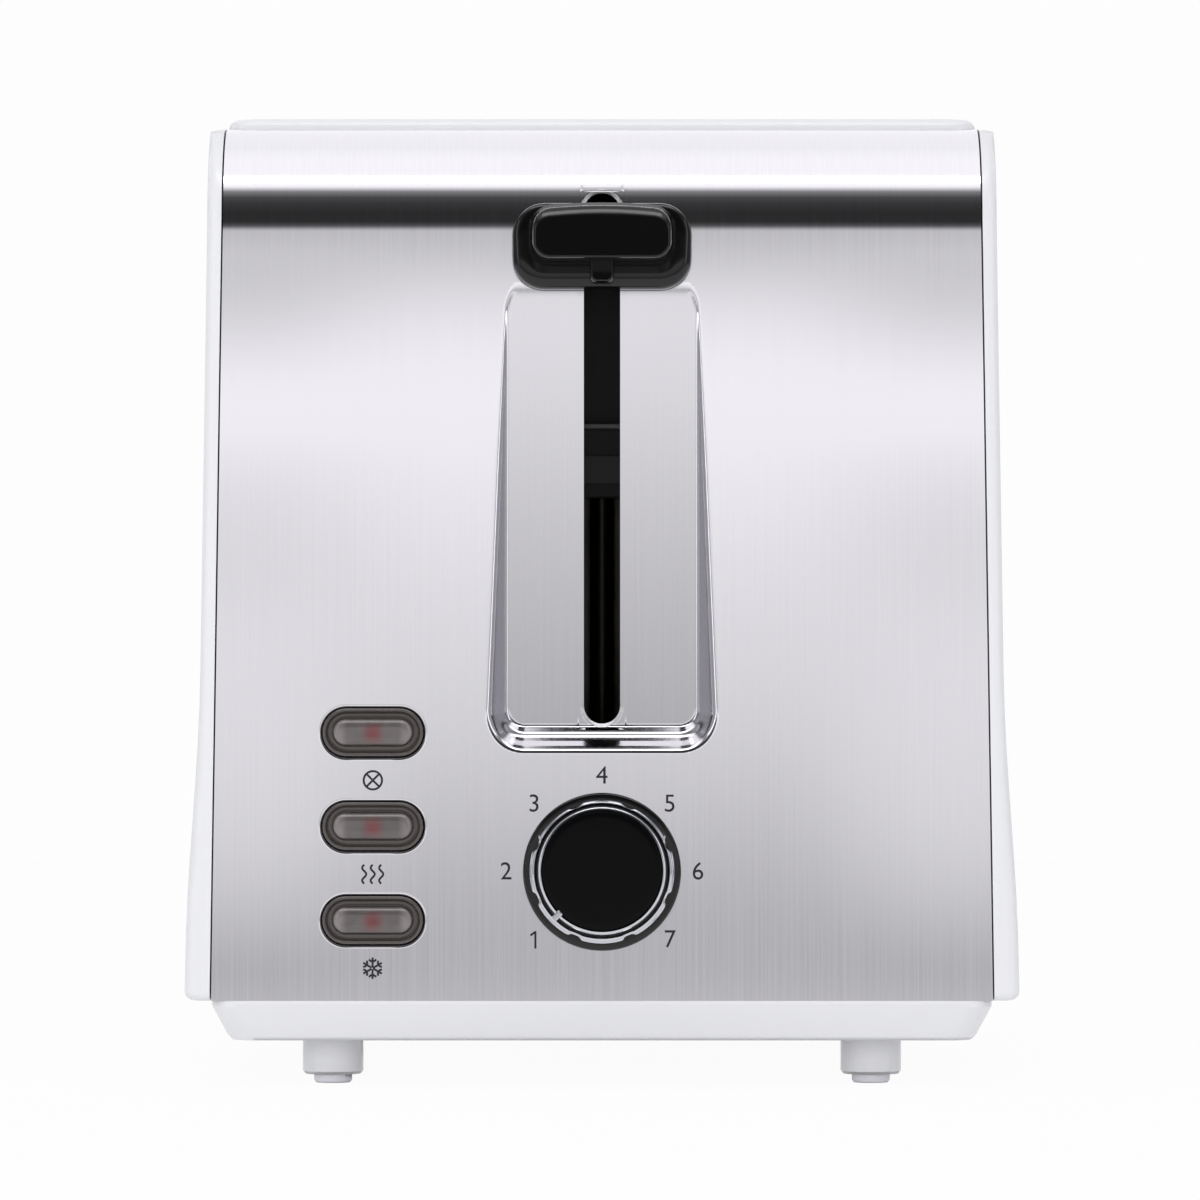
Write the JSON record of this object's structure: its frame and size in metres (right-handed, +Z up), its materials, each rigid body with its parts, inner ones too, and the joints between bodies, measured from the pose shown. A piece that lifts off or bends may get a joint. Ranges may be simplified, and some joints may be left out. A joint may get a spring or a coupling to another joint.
{
  "type": "pop up toaster",
  "caption": "Pop up toaster for two slices, with brushed steel ends, white side shells, a lever with a sprung carriage, a browning dial and three push buttons.",
  "frame": {"origin": "on the standing plane, under the middle of the whole object", "axes": "+Z up; the control end faces -Y; +X to the right as seen from the control end"},
  "size_m": [0.1712, 0.2698, 0.1965],
  "materials": {
    "brushed_panel": "vertically brushed, satin",
    "white_gloss": "glossy white moulding",
    "foot_rubber": "soft grey rubber",
    "screw_steel": "plain",
    "plated_sheet": "plated sheet",
    "mica": "mica board",
    "heating_ribbon": "oxidised resistance ribbon",
    "guard_wire": "plated wire",
    "polished_rod": "polished",
    "black_matte": "fine matte",
    "magnet_iron": "plain iron",
    "copper_winding": "enamelled copper winding",
    "board_green": "lacquered circuit board",
    "black_gloss": "high gloss black",
    "chrome_trim": "mirror chrome",
    "smoked_plastic": "translucent smoked plastic",
    "lamp_red": "red lamp"
  },
  "bodies": {
    "housing": {"front_panel": "brushed_panel", "rear_panel": "brushed_panel", "side_shell_left": "white_gloss", "side_shell_right": "white_gloss", "top_cover": "white_gloss", "base": "white_gloss", "foot_pad_front_left": "foot_rubber", "foot_pad_front_right": "foot_rubber", "foot_pad_rear_left": "foot_rubber", "foot_pad_rear_right": "foot_rubber", "base_screws": "screw_steel", "cord_gland": "white_gloss", "end_plate_front": "plated_sheet", "end_plate_rear": "plated_sheet", "oven_top_plate": "plated_sheet", "reflector_left": "plated_sheet", "reflector_right": "plated_sheet", "heater_board_left": "mica", "heater_board_centre": "mica", "heater_board_right": "mica", "heater_winding_left": "heating_ribbon", "heater_winding_centre": "heating_ribbon", "heater_winding_right": "heating_ribbon", "guide_rod": "polished_rod", "return_spring": "polished_rod", "magnet_core": "magnet_iron", "magnet_coil": "copper_winding", "control_frame": "black_matte", "control_board": "board_green", "board_screws": "screw_steel", "browning_potentiometer": "black_matte", "cancel_lamp": "lamp_red", "reheat_lamp": "lamp_red", "defrost_lamp": "lamp_red", "cancel_switch": "black_matte", "reheat_switch": "black_matte", "defrost_switch": "black_matte"},
    "carriage": {"slider_block": "black_matte", "carriage_bracket": "plated_sheet", "bread_rack_left": "guard_wire", "bread_rack_right": "guard_wire", "lever_arm": "plated_sheet", "lever_knob": "black_gloss", "latch_keeper": "magnet_iron"},
    "crumb_drawer": {"crumb_tray": "plated_sheet", "crumb_tray_handle": "white_gloss"},
    "browning_dial": {"dial_shaft": "polished_rod", "dial_knob": "black_gloss", "dial_ring": "chrome_trim", "dial_cap": "black_gloss"},
    "cancel_key": {"cancel_button": "smoked_plastic"},
    "reheat_key": {"reheat_button": "smoked_plastic"},
    "defrost_key": {"defrost_button": "smoked_plastic"},
    "guard_lo": {"guard_left_outer": "guard_wire"},
    "guard_li": {"guard_left_inner": "guard_wire"},
    "guard_ri": {"guard_right_inner": "guard_wire"},
    "guard_ro": {"guard_right_outer": "guard_wire"}
  },
  "joints": [
    {"name": "lever_slide", "type": "slide", "parent": "housing", "child": "carriage", "axis": [0, 0, 1], "range_m": [-0.084, 0.008], "stiffness_N_per_m": 200, "springref_m": 0.00381, "deforming": ["return_spring"]},
    {"name": "crumb_tray_slide", "type": "slide", "parent": "housing", "child": "crumb_drawer", "axis": [0, 1, 0], "range_m": [0, 0.16]},
    {"name": "browning_dial_turn", "type": "hinge", "parent": "housing", "child": "browning_dial", "pos_m": [0, -0.1178, 0.04346], "axis": [0, 0.9986, -0.0523], "range_deg": [0, 270]},
    {"name": "cancel_press", "type": "slide", "parent": "housing", "child": "cancel_key", "axis": [0, 0.9986, -0.0523], "range_m": [0, 0.0012], "stiffness_N_per_m": 600, "springref_m": -0.0008},
    {"name": "reheat_press", "type": "slide", "parent": "housing", "child": "reheat_key", "axis": [0, 0.9986, -0.0523], "range_m": [0, 0.0012], "stiffness_N_per_m": 600, "springref_m": -0.0008},
    {"name": "defrost_press", "type": "slide", "parent": "housing", "child": "defrost_key", "axis": [0, 0.9986, -0.0523], "range_m": [0, 0.0012], "stiffness_N_per_m": 600, "springref_m": -0.0008},
    {"name": "guard_lo_swing", "type": "hinge", "parent": "housing", "child": "guard_lo", "pos_m": [-0.0465, 0.01385, 0.0288], "axis": [0, 1, 0], "range_deg": [-0.6, 3.7]},
    {"name": "guard_li_swing", "type": "hinge", "parent": "housing", "child": "guard_li", "pos_m": [-0.0155, 0.01385, 0.0288], "axis": [0, 1, 0], "range_deg": [-3.7, 0.6]},
    {"name": "guard_ri_swing", "type": "hinge", "parent": "housing", "child": "guard_ri", "pos_m": [0.0155, 0.01385, 0.0288], "axis": [0, 1, 0], "range_deg": [-0.6, 3.7]},
    {"name": "guard_ro_swing", "type": "hinge", "parent": "housing", "child": "guard_ro", "pos_m": [0.0465, 0.01385, 0.0288], "axis": [0, 1, 0], "range_deg": [-3.7, 0.6]}
  ],
  "couplings": [
    {"joint": "guard_lo_swing", "follows": "lever_slide", "rad_per_m": -0.745},
    {"joint": "guard_li_swing", "follows": "lever_slide", "rad_per_m": 0.745},
    {"joint": "guard_ri_swing", "follows": "lever_slide", "rad_per_m": -0.745},
    {"joint": "guard_ro_swing", "follows": "lever_slide", "rad_per_m": 0.745}
  ]
}
